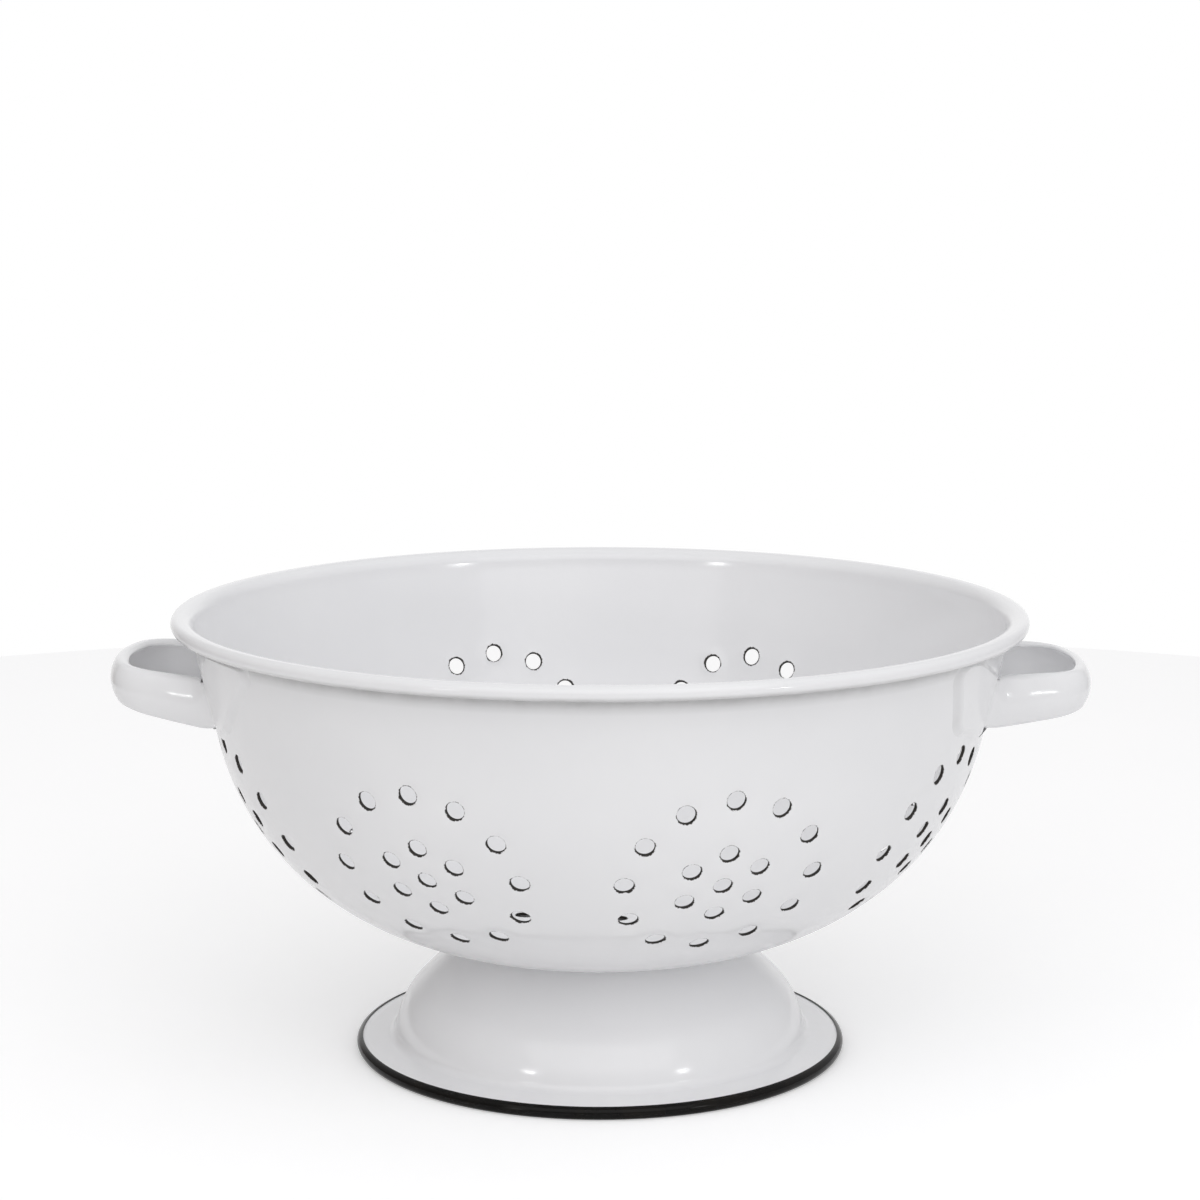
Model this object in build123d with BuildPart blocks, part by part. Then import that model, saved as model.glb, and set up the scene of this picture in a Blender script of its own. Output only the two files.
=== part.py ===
from build123d import *
from math import acos, asin, cos, degrees, hypot, radians, sin, sqrt, tan
import os

# Footed enamelled-steel colander. Millimetres, +Z up, origin at the centre of the foot on the
# surface that it stands on. The loop handles lie on +X and -X, and the viewer is on the -Y side.

# Sheet and enamel
sheet = 1.0                  # bowl and foot sheet with its enamel on both faces
strap = 1.2                  # handle strap with its enamel
weld_gap = 0.1               # enamel line between two welded sheets
edge_coat = 0.3              # black enamel over the foot's rolled edge
coat_gap = 0.05              # bond line under the black enamel

# Bowl
rim_radius = 140.0
overall_height = 148.0
foot_height = 38.0           # table to the underside of the bowl's floor
wall_taper = 13.1            # degrees that the straight upper wall leans out
wall_bend = 86.0             # inside radius of the bowl's side
floor_bend = 94.4            # inside radius where the side runs into the floor
bend_change = 39.9           # degrees of slope where one radius gives way to the other
rim_roll = 2.35              # outside radius of the rolled lip
rim_shoulder = 3.3           # radius of the lip's inner shoulder
rim_crown = 1.2              # flat between shoulder and roll
rim_tuck = 1.4               # lip's tail under the roll

# Rosettes of drain holes
rosette_count = 8
rosette_turn = -4.1          # degrees that the rosettes stand off from midway between the handles
rosette_tilt = 31.0          # degrees that a rosette's axis points down
hole_radius = 3.25
inner_ring = 12.35
inner_holes = 6
outer_ring = 29.8
outer_holes = 12
floor_rosette_turn = 0.0     # degrees that the floor's inner ring stands off from the +X handle

# Foot
foot_radius = 81.6
seat_inner = 36.4            # welded seat under the bowl's floor
seat_outer = 43.4
seat_bend = 2.6
foot_slope = 45.0            # degrees of the foot's upper cone
foot_bulge = 29.3            # radius of the foot's lower wall
foot_base_slope = 79.8       # degrees where the lower wall ends
flange_fillet = 3.0
flange_slope = 6.3           # degrees
edge_roll = 1.75             # outside radius of the foot's rolled edge, before the black enamel
edge_roll_turn = 250.0
edge_flat = 0.15             # depth of the flat that the edge stands on
edge_coat_turn = 220.0       # degrees round the rolled edge that the black enamel covers

# Handles
handle_reach = 21.3          # past the rim
handle_height = 15.5
handle_drop = 24.1           # rim's top to the middle of the strap
tip_radius = 70.0
tip_half_angle = 16.9
corner_radius = 18.4
leg_toe = 15.1               # degrees that each leg opens towards the bowl
channel_depth = 6.0          # strap's face to the lips' edge
channel_radius = 3.8         # rounding of the strap's upper and lower edges
root_radius = 9.0            # hollow bend between leg and weld pad
pad_top_gap = 2.4            # under the rolled lip
pad_height = 21.0
pad_corner = 5.0
pad_tip_low = 62.0           # handle's middle to the pad's end, along its lower edge
pad_tip_high = 78.0          # handle's middle to the pad's end, along its upper edge
flare_start = 38.0           # handle's middle to where the strap begins to spread
flare_top = 60.0             # handle's middle to where the pad's upper edge is level

# Welds
nugget_radius = 2.4
foot_nuggets = 6
pad_nugget_spacing = 10.0

overrun = 2.0                # cutters and blanks run past what they meet by this much


def polar(radius, angle):
    return radius * cos(radians(angle)), radius * sin(radians(angle))


# Bowl section, worked out from the lip down to the floor
taper = radians(wall_taper)
change = radians(bend_change)
floor_top = foot_height + sheet
shoulder_x = rim_radius - rim_roll - rim_crown
wall_top_x = shoulder_x - rim_shoulder * cos(taper)
wall_top_z = overall_height - rim_shoulder * (1 - sin(taper))
wall_foot_z = floor_top + floor_bend * (1 - cos(change)) + wall_bend * (cos(change) - sin(taper))
wall_foot_x = wall_top_x - (wall_top_z - wall_foot_z) * tan(taper)
floor_radius = wall_foot_x - floor_bend * sin(change) - wall_bend * (cos(taper) - sin(change))
bend_centre_x = wall_foot_x - wall_bend * cos(taper)
bend_centre_z = wall_foot_z + wall_bend * sin(taper)
lip_bottom = overall_height - 2 * rim_roll


def wall_outside(height):
    """Outside radius of the straight, tapered part of the wall."""
    return wall_foot_x + (height - wall_foot_z) * tan(taper) + sheet / cos(taper)


def floor_underside(radius):
    """Height of the floor's underside, flat in the middle and curved outside that."""
    run = max(radius - floor_radius, 0)
    bend = floor_bend + sheet
    return foot_height + bend - sqrt(bend**2 - run**2)


punch_radius = wall_bend + sheet + overrun
punch_depth = outer_ring
rosette_planes = [
    Plane(
        origin=(*polar(bend_centre_x + punch_radius * cos(radians(rosette_tilt)), turn),
                bend_centre_z - punch_radius * sin(radians(rosette_tilt))),
        x_dir=(sin(radians(turn)), -cos(radians(turn)), 0),
        z_dir=(*polar(-cos(radians(rosette_tilt)), turn), sin(radians(rosette_tilt))),
    )
    for turn in [rosette_turn + (k + 0.5) * 360 / rosette_count for k in range(rosette_count)]
]

# Handle plan, for the handle on +X, taken at the middle height of the strap
handle_z = overall_height - handle_drop
tip_x = rim_radius + handle_reach
tip_turn = radians(tip_half_angle)
toe = radians(leg_toe)
tip_end = (tip_x - tip_radius * (1 - cos(tip_turn)), tip_radius * sin(tip_turn))
corner_centre = (tip_end[0] - corner_radius * cos(tip_turn), tip_end[1] - corner_radius * sin(tip_turn))
leg_start = (corner_centre[0] + corner_radius * sin(toe), corner_centre[1] + corner_radius * cos(toe))
# The hollow bend's centre if the leg had no straight run
bend_x = leg_start[0] + root_radius * sin(toe)
bend_y = leg_start[1] + root_radius * cos(toe)
bend_along = bend_x * cos(toe) - bend_y * sin(toe)
strap_bottom = handle_z - handle_height / 2
strap_top = handle_z + handle_height / 2
pad_top = lip_bottom - pad_top_gap
pad_bottom = pad_top - pad_height
pad_middle = (pad_top + pad_bottom) / 2


def pad_face(height):
    """Plan radius of the pads' outer face, one weld gap and one strap off the wall."""
    return wall_outside(height) + weld_gap + strap


def leg_length(height):
    """Straight run of a leg, up to the bend that is tangent to the leg and to the pad's face."""
    reach = pad_face(height) + root_radius
    return bend_along - sqrt(bend_along**2 + reach**2 - bend_x**2 - bend_y**2)


def bend_centre(height):
    return bend_x - leg_length(height) * cos(toe), bend_y + leg_length(height) * sin(toe)


def pad_start(height):
    """Degrees from the handle's middle line to where the pad begins."""
    centre = bend_centre(height)
    return degrees(asin(centre[1] / hypot(*centre)))


def pad_end(tip, height):
    """Degrees from the handle's middle line to a point of the pad that lies that far along Y."""
    return degrees(asin(tip / pad_face(height)))


# The blank of each end is trimmed to the pad's outline, so it stands past that all round
blank_bottom = strap_bottom - overrun
blank_top = pad_top + overrun
channel_end = leg_length(blank_top) - overrun
channel_start = (leg_start[0] - channel_end * cos(toe), leg_start[1] + channel_end * sin(toe))
pad_tip_middle = (pad_tip_low + pad_tip_high) / 2
nugget_middle = (pad_start(pad_middle) + pad_end(pad_tip_middle, pad_middle)) / 2
nugget_half_step = degrees(pad_nugget_spacing / 2 / pad_face(pad_middle))
nugget_angles = [nugget_middle + side * nugget_half_step for side in (-1, 1)]


def pad_weld_planes(middle):
    """Planes on the wall's outside under the two pads of the handle at that angle, facing out of the wall."""
    turns = [middle + side * angle for side in (-1, 1) for angle in nugget_angles]
    return [
        Plane(
            origin=(*polar(wall_outside(pad_middle), turn), pad_middle),
            x_dir=(-sin(radians(turn)), cos(radians(turn)), 0),
            z_dir=(*polar(cos(taper), turn), -sin(taper)),
        )
        for turn in turns
    ]


seat_middle = (seat_inner + seat_outer) / 2
nugget_length = sheet + weld_gap
nugget_plane = Plane.XY.offset(floor_underside(seat_middle) - weld_gap - sheet / 2)


def sheet_outline(start, heading, runs, thickness):
    """Draw a bent sheet's closed outline, with the sheet on the right of its first face.

    A run is a straight length, or a radius with the degrees that the face turns, positive to the left.
    """
    ends = []
    for shift in (0, thickness):
        angle = heading
        point = Vector(*start) + Vector(*polar(shift, angle - 90))
        ends.append([point])
        for run in runs:
            if isinstance(run, tuple):
                radius, turn = run
                parallel = radius + shift if turn > 0 else radius - shift
                piece = JernArc(point, polar(1, angle), parallel, turn)
                angle += turn
            else:
                piece = PolarLine(point, run, angle)
            point = piece @ 1
        ends[-1].append(point)
    Line(ends[0][0], ends[1][0])
    Line(ends[0][1], ends[1][1])


# Bowl: drawn sheet with a rolled lip, punched with the rosettes
with BuildPart() as bowl:
    with BuildSketch(Plane.XZ):
        with BuildLine():
            sheet_outline(
                (0, floor_top), 0,
                [floor_radius, (floor_bend, bend_change), (wall_bend, 90 - wall_taper - bend_change),
                 (wall_top_z - wall_foot_z) / cos(taper), (rim_shoulder, wall_taper - 90),
                 rim_crown, (rim_roll, -180), rim_tuck],
                sheet,
            )
        make_face()
    revolve(axis=Axis.Z)
    with BuildSketch(*rosette_planes):
        Circle(hole_radius)
        with PolarLocations(inner_ring, inner_holes, start_angle=90):
            Circle(hole_radius)
        with PolarLocations(outer_ring, outer_holes):
            Circle(hole_radius)
    extrude(amount=punch_depth, mode=Mode.SUBTRACT)
    with BuildSketch(Plane.XY.offset(foot_height - overrun)):
        Circle(hole_radius)
        with PolarLocations(inner_ring, inner_holes, start_angle=floor_rosette_turn):
            Circle(hole_radius)
        with PolarLocations(outer_ring, outer_holes):
            Circle(hole_radius)
    extrude(amount=sheet + 2 * overrun, mode=Mode.SUBTRACT)
    with BuildSketch(*pad_weld_planes(0), *pad_weld_planes(180)):
        Circle(nugget_radius)
    extrude(amount=-sheet / 2, mode=Mode.SUBTRACT)
    with BuildSketch(nugget_plane):
        with PolarLocations(seat_middle, foot_nuggets):
            Circle(nugget_radius)
    extrude(amount=nugget_length, mode=Mode.SUBTRACT)


# Foot section: the cone's and the flange's straight runs close the profile between seat and edge
slope = radians(foot_slope)
base_slope = radians(foot_base_slope)
flange = radians(flange_slope)
seat_arc_radius = floor_bend + sheet + weld_gap
seat_centre_z = foot_height + floor_bend + sheet
seat_start_angle = degrees(asin((seat_inner - floor_radius) / seat_arc_radius))
seat_end_angle = degrees(asin((seat_outer - floor_radius) / seat_arc_radius))
seat_start_x = seat_inner
seat_start_z = seat_centre_z - seat_arc_radius * cos(radians(seat_start_angle))
edge_centre_x = foot_radius - edge_coat - coat_gap - edge_roll
edge_centre_z = edge_roll + edge_coat + coat_gap - edge_flat
cone_x = seat_outer + seat_bend * (sin(radians(seat_end_angle)) + sin(slope))
cone_z = (seat_centre_z - seat_arc_radius * cos(radians(seat_end_angle))
          - seat_bend * (cos(radians(seat_end_angle)) - cos(slope)))
bends_x = foot_bulge * (sin(base_slope) - sin(slope)) + flange_fillet * (sin(base_slope) - sin(flange))
bends_z = foot_bulge * (cos(slope) - cos(base_slope)) + flange_fillet * (cos(flange) - cos(base_slope))
flange_end_x = edge_centre_x + edge_roll * sin(flange)
flange_end_z = edge_centre_z + edge_roll * cos(flange)
room_x = flange_end_x - cone_x - bends_x
room_z = cone_z - bends_z - flange_end_z
cone_run = (room_z * cos(flange) - room_x * sin(flange)) / sin(slope - flange)
flange_run = (room_x * sin(slope) - room_z * cos(slope)) / sin(slope - flange)

# Foot: pressed, flared stand with a rolled edge, welded under the floor
with BuildPart() as foot:
    with BuildSketch(Plane.XZ):
        with BuildLine():
            sheet_outline(
                (seat_start_x, seat_start_z), seat_start_angle,
                [(seat_arc_radius, seat_end_angle - seat_start_angle),
                 (seat_bend, -seat_end_angle - foot_slope), cone_run,
                 (foot_bulge, foot_slope - foot_base_slope),
                 (flange_fillet, foot_base_slope - flange_slope), flange_run,
                 (edge_roll, -edge_roll_turn)],
                sheet,
            )
        make_face()
    revolve(axis=Axis.Z)
    with BuildSketch(nugget_plane):
        with PolarLocations(seat_middle, foot_nuggets):
            Circle(nugget_radius)
    extrude(amount=nugget_length, mode=Mode.SUBTRACT)


# Black enamel coat round the foot's rolled edge, with the narrow flat that it stands on
coat_inner = edge_roll + coat_gap
coat_outer = coat_inner + edge_coat
coat_start = 90 - flange_slope
with BuildPart() as foot_edge_enamel:
    with BuildSketch(Plane.XZ):
        with BuildLine():
            inner_face = CenterArc((edge_centre_x, edge_centre_z), coat_inner, coat_start, -edge_coat_turn)
            outer_face = CenterArc((edge_centre_x, edge_centre_z), coat_outer, coat_start, -edge_coat_turn)
            Line(inner_face @ 0, outer_face @ 0)
            Line(inner_face @ 1, outer_face @ 1)
        make_face()
        with Locations((edge_centre_x, -coat_outer)):
            Rectangle(4 * coat_outer, 2 * coat_outer, mode=Mode.SUBTRACT)
    revolve(axis=Axis.Z)


# Handles: a channel strap bent into a loop, its ends flared into pads that lie on the wall
def flare_outline(height):
    """Plan of one end of the strap at a height: the pad, the hollow bend and the leg's last stretch."""
    first = pad_end(pad_tip_high + overrun, height)
    sheet_outline(
        polar(pad_face(height), first), first - 90,
        [(pad_face(height), pad_start(height) - first), (root_radius, 90 - leg_toe - pad_start(height)),
         leg_length(height) - channel_end],
        strap,
    )


def lip_outline(height):
    """Plan of a lip where it follows the hollow bend; it starts inside the strap and ends in the wall."""
    centre = bend_centre(height)
    inset = strap / 2
    start = Vector(*channel_start) - inset * Vector(sin(toe), cos(toe))
    bend_from = Vector(*centre) - (root_radius + inset) * Vector(sin(toe), cos(toe))
    bend = CenterArc(centre, root_radius + inset, 270 - leg_toe, pad_start(height) + leg_toe - 90)
    inner = Vector(*polar(pad_face(height) - channel_depth, pad_start(height)))
    Line(start, bend_from)
    Polyline(bend @ 1, inner, Vector(*channel_start) - channel_depth * Vector(sin(toe), cos(toe)), start)


with BuildLine() as loop:
    far_leg = Line(channel_start, leg_start)
    far_corner = JernArc(far_leg @ 1, far_leg % 1, corner_radius, leg_toe + tip_half_angle - 90)
    tip = JernArc(far_corner @ 1, far_corner % 1, tip_radius, -2 * tip_half_angle)
    near_corner = JernArc(tip @ 1, tip % 1, corner_radius, leg_toe + tip_half_angle - 90)
    Line(near_corner @ 1, (channel_start[0], -channel_start[1]))

with BuildPart() as handle_right:
    for height in (blank_bottom, blank_top):
        with BuildSketch(Plane.XY.offset(height)):
            with BuildLine():
                flare_outline(height)
            make_face()
    loft(ruled=True)
    # The strap's height spreads into the pad's
    with BuildSketch(Plane.YZ):
        with BuildLine():
            Polyline(
                (0, strap_bottom), (flare_start, strap_bottom), (pad_tip_low, pad_bottom),
                (pad_tip_high, pad_top), (flare_top, pad_top), (flare_start, strap_top),
                (0, strap_top), close=True,
            )
        make_face()
        fillet(vertices().sort_by(Axis.X)[-2:], pad_corner)
    extrude(amount=rim_radius, mode=Mode.INTERSECT)
    for height in (strap_bottom, strap_top - strap):
        with BuildSketch(Plane.XY.offset(height)):
            with BuildLine():
                lip_outline(height + strap / 2)
            make_face()
        extrude(amount=strap)
    mirror(about=Plane.XZ)
    with BuildSketch(Plane(origin=(*channel_start, handle_z), x_dir=(-sin(toe), -cos(toe), 0),
                           z_dir=(cos(toe), -sin(toe), 0))):
        Rectangle(channel_depth, handle_height, align=(Align.MIN, Align.CENTER))
        fillet(vertices().group_by(Axis.Y)[-1].sort_by(Axis.X)[0], channel_radius)
        fillet(vertices().group_by(Axis.Y)[0].sort_by(Axis.X)[0], channel_radius)
        with Locations((strap, 0)):
            RectangleRounded(2 * channel_depth, handle_height - 2 * strap, channel_radius - strap,
                             align=(Align.MIN, Align.CENTER), mode=Mode.SUBTRACT)
    sweep(path=Plane.XY.offset(handle_z) * loop.line)
    # The lips stop short of the wall
    with BuildSketch(Plane.XZ):
        with BuildLine():
            Polyline(
                (0, blank_bottom), (wall_outside(blank_bottom) + weld_gap / 2, blank_bottom),
                (wall_outside(blank_top) + weld_gap / 2, blank_top), (0, blank_top), close=True,
            )
        make_face()
    revolve(axis=Axis.Z, mode=Mode.SUBTRACT)
    with BuildSketch(*pad_weld_planes(0)):
        Circle(nugget_radius)
    extrude(amount=weld_gap + strap / 2, mode=Mode.SUBTRACT)

with BuildPart() as handle_left:
    mirror(handle_right.part, about=Plane.YZ)


# Weld nuggets, grown into half of each of the two sheets that they join
with BuildPart() as handle_right_welds:
    with BuildSketch(*[plane.offset(-sheet / 2) for plane in pad_weld_planes(0)]):
        Circle(nugget_radius)
    extrude(amount=sheet / 2 + weld_gap + strap / 2)

with BuildPart() as handle_left_welds:
    mirror(handle_right_welds.part, about=Plane.YZ)

with BuildPart() as foot_welds:
    with BuildSketch(nugget_plane):
        with PolarLocations(seat_middle, foot_nuggets):
            Circle(nugget_radius)
    extrude(amount=nugget_length)


os.makedirs("parts", exist_ok=True)
bowl.part.label = "bowl"
export_step(bowl.part, "parts/bowl.step")
foot.part.label = "foot"
export_step(foot.part, "parts/foot.step")
foot_edge_enamel.part.label = "foot_edge_enamel"
export_step(foot_edge_enamel.part, "parts/foot_edge_enamel.step")
handle_left.part.label = "handle_left"
export_step(handle_left.part, "parts/handle_left.step")
handle_right.part.label = "handle_right"
export_step(handle_right.part, "parts/handle_right.step")
handle_left_welds.part.label = "handle_left_welds"
export_step(handle_left_welds.part, "parts/handle_left_welds.step")
handle_right_welds.part.label = "handle_right_welds"
export_step(handle_right_welds.part, "parts/handle_right_welds.step")
foot_welds.part.label = "foot_welds"
export_step(foot_welds.part, "parts/foot_welds.step")
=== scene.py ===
from math import asin, atan2, ceil, cos, hypot, pi, radians, sin, sqrt, tan

import bmesh
import bpy
import numpy as np
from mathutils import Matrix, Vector
from mathutils.geometry import delaunay_2d_cdt


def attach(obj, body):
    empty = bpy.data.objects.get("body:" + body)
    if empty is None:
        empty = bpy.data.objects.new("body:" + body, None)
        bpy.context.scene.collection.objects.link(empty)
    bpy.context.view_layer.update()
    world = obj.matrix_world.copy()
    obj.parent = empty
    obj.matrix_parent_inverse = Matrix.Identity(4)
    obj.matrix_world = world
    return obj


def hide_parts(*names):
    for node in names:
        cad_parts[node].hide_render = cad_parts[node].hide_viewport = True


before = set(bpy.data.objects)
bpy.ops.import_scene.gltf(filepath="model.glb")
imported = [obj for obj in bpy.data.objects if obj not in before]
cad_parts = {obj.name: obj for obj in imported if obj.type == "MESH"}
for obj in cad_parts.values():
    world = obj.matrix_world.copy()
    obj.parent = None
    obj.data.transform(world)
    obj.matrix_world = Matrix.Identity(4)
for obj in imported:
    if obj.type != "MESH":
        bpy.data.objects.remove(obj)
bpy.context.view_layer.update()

# Sizes are in millimetres, in the frame's axes, and a mesh is scaled to metres when it is made
MM = 0.001

# Sheet
SHEET = 1.0
WELD_GAP = 0.1

# Bowl section
RIM_RADIUS = 140.0
OVERALL_HEIGHT = 148.0
FOOT_HEIGHT = 38.0
TAPER = radians(13.1)
WALL_BEND = 86.0
FLOOR_BEND = 94.4
CHANGE = radians(39.9)
RIM_ROLL = 2.35
RIM_SHOULDER = 3.3
RIM_CROWN = 1.2
RIM_TUCK = 1.4

# Lip as it is seen inside: the wall stands up a little before it turns out over the roll.
# Painted shade darkens the crease under the roll, reaching this far above and below the roll's lowest line
NECK_TURN = radians(7.0)
NECK_RADIUS = 32.0
LIP_SHOULDER = 4.5
GROOVE_SHADE_ABOVE = 1.6
GROOVE_SHADE_BELOW = 4.4

# Rosettes
ROSETTES = 8
ROSETTE_TURN = radians(-4.1)
ROSETTE_TILT = radians(31.0)
HOLE_RADIUS = 2.85
INNER_RING = 12.35
INNER_HOLES = 6
OUTER_RING = 29.8
OUTER_HOLES = 12
SECTOR = 2 * pi / ROSETTES

# Punched edges: the sheet dips towards the bowl's inside round each hole, and enamel narrows the holes
DISH_DEPTH = 0.26
DISH_RADIUS = 7.6
EDGE_ROUND = 0.3
RING_SIDES = 24
SURFACE_RINGS = (3.25, 3.65, 4.25, 5.0, 5.9)

# Distances from the cut that the enamel's material reads: the bare margin is wider on the inside,
# and a hole's wall lies so far past the cut that it is bare all over
FAR_FROM_CUT = 9.0
INSIDE_CUT = 0.2
WALL_CUT = 0.6

# Foot section
FOOT_RADIUS = 81.6
SEAT_INNER = 36.4
SEAT_OUTER = 43.4
SEAT_BEND = 2.6
FOOT_SLOPE = radians(45.0)
FOOT_BULGE = 29.3
FOOT_BASE_SLOPE = radians(79.8)
FLANGE_FILLET = 3.0
FLANGE_SLOPE = radians(6.3)
EDGE_ROLL = 1.75
EDGE_ROLL_TURN = radians(250.0)
EDGE_COAT = 0.3
COAT_GAP = 0.05
EDGE_FLAT = 0.15
COAT_TURN = radians(220.0)

# Handles: the strap's face and plan, the same on both sides
STRAP = 1.2
TIP_RADIUS = 70.0
TIP_HALF_ANGLE = radians(16.9)
CORNER_RADIUS = 18.4
LEG_TOE = radians(15.1)
CURL_RADIUS = 2.6
CURL_DEPTH = 3.8
LEG_BOW = 0.25
ROOT_RADIUS = 9.0
ROOT_X = 128.0
ROOT_Y = 38.0
PAD_CORNER = 3.5
PAD_LENGTH = 24.0
WALL_CLEARANCE = 0.3

# Enamel that fills the seam round a pad: its reach along the wall, the heights of the edge over the
# wall from which it thins out and at which it ends, the painted shade laid on it on the right and on the
# left, and the share of the way down to the wall at which the painted shade is full
SEAM_SIDE = 5.5
SEAM_BELOW = 3.0
SEAM_ABOVE = 2.2
SEAM_SUNK = 0.03
SEAM_FULL = 2.2
SEAM_NONE = 5.0
SEAM_SHADE = {1: 0.32, -1: 0.1}
SHADE_FULL = 0.6
RIM_ROWS = 8

# Mesh density
STEP = 2.0
FINE_STEP = 0.5
ARC_STEP = radians(9)
FINE_ARC_STEP = radians(6)
CAP_STEPS = 6
CHART_STEPS = 2000
LEAST_AREA_SHARE = 1e-5
WELD_DISTANCE = 0.002
LATTICE = 3.0
STAGGER_SHARES = (0.75, 0.25)
FLOOR_BORDER = 44.0
SIDE_TOP = 176.0
COLUMNS_BOTTOM = 11
COLUMNS_TOP = 32
SIDE_ROWS = 44
ROUND_SIDES = ROSETTES * COLUMNS_TOP
TIP_STEPS = 8
CORNER_STEPS = 12
LEG_STEPS = 10
ROOT_STEPS = 12
PAD_STEPS = (24, 20, 16, 12, 9, 7, 5.2, 3.6, 2.6, 1.7, 1.0, 0.4, 0.12, 0)
CROWN_POINTS = 5
EDGE_POINTS = 6
CURL_POINTS = 5

# Rounds of the searches that settle on a point
HIT_ROUNDS = 12
CROWN_ROUNDS = 12
COLUMN_ROUNDS = 8

# Values worked out from the lip down to the floor
END = pi / 2 - TAPER
FLOOR_TOP = FOOT_HEIGHT + SHEET
SHOULDER_X = RIM_RADIUS - RIM_ROLL - RIM_CROWN
WALL_TOP_X = SHOULDER_X - RIM_SHOULDER * cos(TAPER)
WALL_TOP_Z = OVERALL_HEIGHT - RIM_SHOULDER * (1 - sin(TAPER))
WALL_FOOT_Z = FLOOR_TOP + FLOOR_BEND * (1 - cos(CHANGE)) + WALL_BEND * (cos(CHANGE) - sin(TAPER))
WALL_FOOT_X = WALL_TOP_X - (WALL_TOP_Z - WALL_FOOT_Z) * tan(TAPER)
FLOOR_RADIUS = WALL_FOOT_X - FLOOR_BEND * sin(CHANGE) - WALL_BEND * (cos(TAPER) - sin(CHANGE))
BEND_X = WALL_FOOT_X - WALL_BEND * cos(TAPER)
BEND_Z = WALL_FOOT_Z + WALL_BEND * sin(TAPER)
ARC_START = FLOOR_RADIUS
BEND_START = ARC_START + FLOOR_BEND * CHANGE
WALL_START = BEND_START + WALL_BEND * (END - CHANGE)


def meridian(s):
    """Radius, height and slope of the bowl's inner face, at distances s along it from the middle."""
    s = np.asarray(s, float)
    first = np.clip((s - ARC_START) / FLOOR_BEND, 0, CHANGE)
    second = np.clip((s - BEND_START) / WALL_BEND, 0, END - CHANGE)
    straight = np.maximum(s - WALL_START, 0)
    slope = first + second
    r = (np.minimum(s, FLOOR_RADIUS) + FLOOR_BEND * np.sin(first)
         + WALL_BEND * (np.sin(CHANGE + second) - sin(CHANGE)) + straight * cos(END))
    z = (FLOOR_TOP + FLOOR_BEND * (1 - np.cos(first))
         + WALL_BEND * (cos(CHANGE) - np.cos(CHANGE + second)) + straight * sin(END))
    return r, z, slope


def locate(r, z):
    """Distance along the inner face and distance outside it, for points of the bowl's half plane."""
    floor_angle = np.arctan2(r - FLOOR_RADIUS, FLOOR_TOP + FLOOR_BEND - z)
    wall_angle = np.arctan2(r - BEND_X, BEND_Z - z)
    along = (r - WALL_FOOT_X) * cos(END) + (z - WALL_FOOT_Z) * sin(END)
    flat = r < FLOOR_RADIUS
    lower = floor_angle <= CHANGE
    upper = wall_angle <= END
    s = np.select(
        [flat, lower, upper],
        [r, ARC_START + FLOOR_BEND * floor_angle, BEND_START + WALL_BEND * (wall_angle - CHANGE)],
        WALL_START + along)
    outside = np.select(
        [flat, lower, upper],
        [FLOOR_TOP - z, np.hypot(r - FLOOR_RADIUS, FLOOR_TOP + FLOOR_BEND - z) - FLOOR_BEND,
         np.hypot(r - BEND_X, BEND_Z - z) - WALL_BEND],
        (r - WALL_FOOT_X) * sin(END) - (z - WALL_FOOT_Z) * cos(END))
    return s, outside


def unit(vectors):
    return vectors / np.linalg.norm(vectors, axis=-1, keepdims=True)


def turned(vectors, angle):
    """Vectors turned about the Z axis."""
    c, s = cos(angle), sin(angle)
    return vectors @ np.array([[c, s, 0], [-s, c, 0], [0, 0, 1]])


def outward_at(points, s):
    """Normals of the bowl's outer face at points that lie at distances s along the section."""
    _, _, slope = meridian(s)
    radius = np.maximum(np.hypot(points[:, 0], points[:, 1]), 1e-9)
    lean = np.sin(slope) / radius
    return np.stack([lean * points[:, 0], lean * points[:, 1], -np.cos(slope)], -1)


def on_face(s, turn, outside):
    """Points that far outside the bowl's inner face, at distances s along the section and angles turn."""
    r, z, slope = meridian(s)
    r = r + outside * np.sin(slope)
    return np.stack([r * np.cos(turn), r * np.sin(turn), z - outside * np.cos(slope)], -1)


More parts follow.
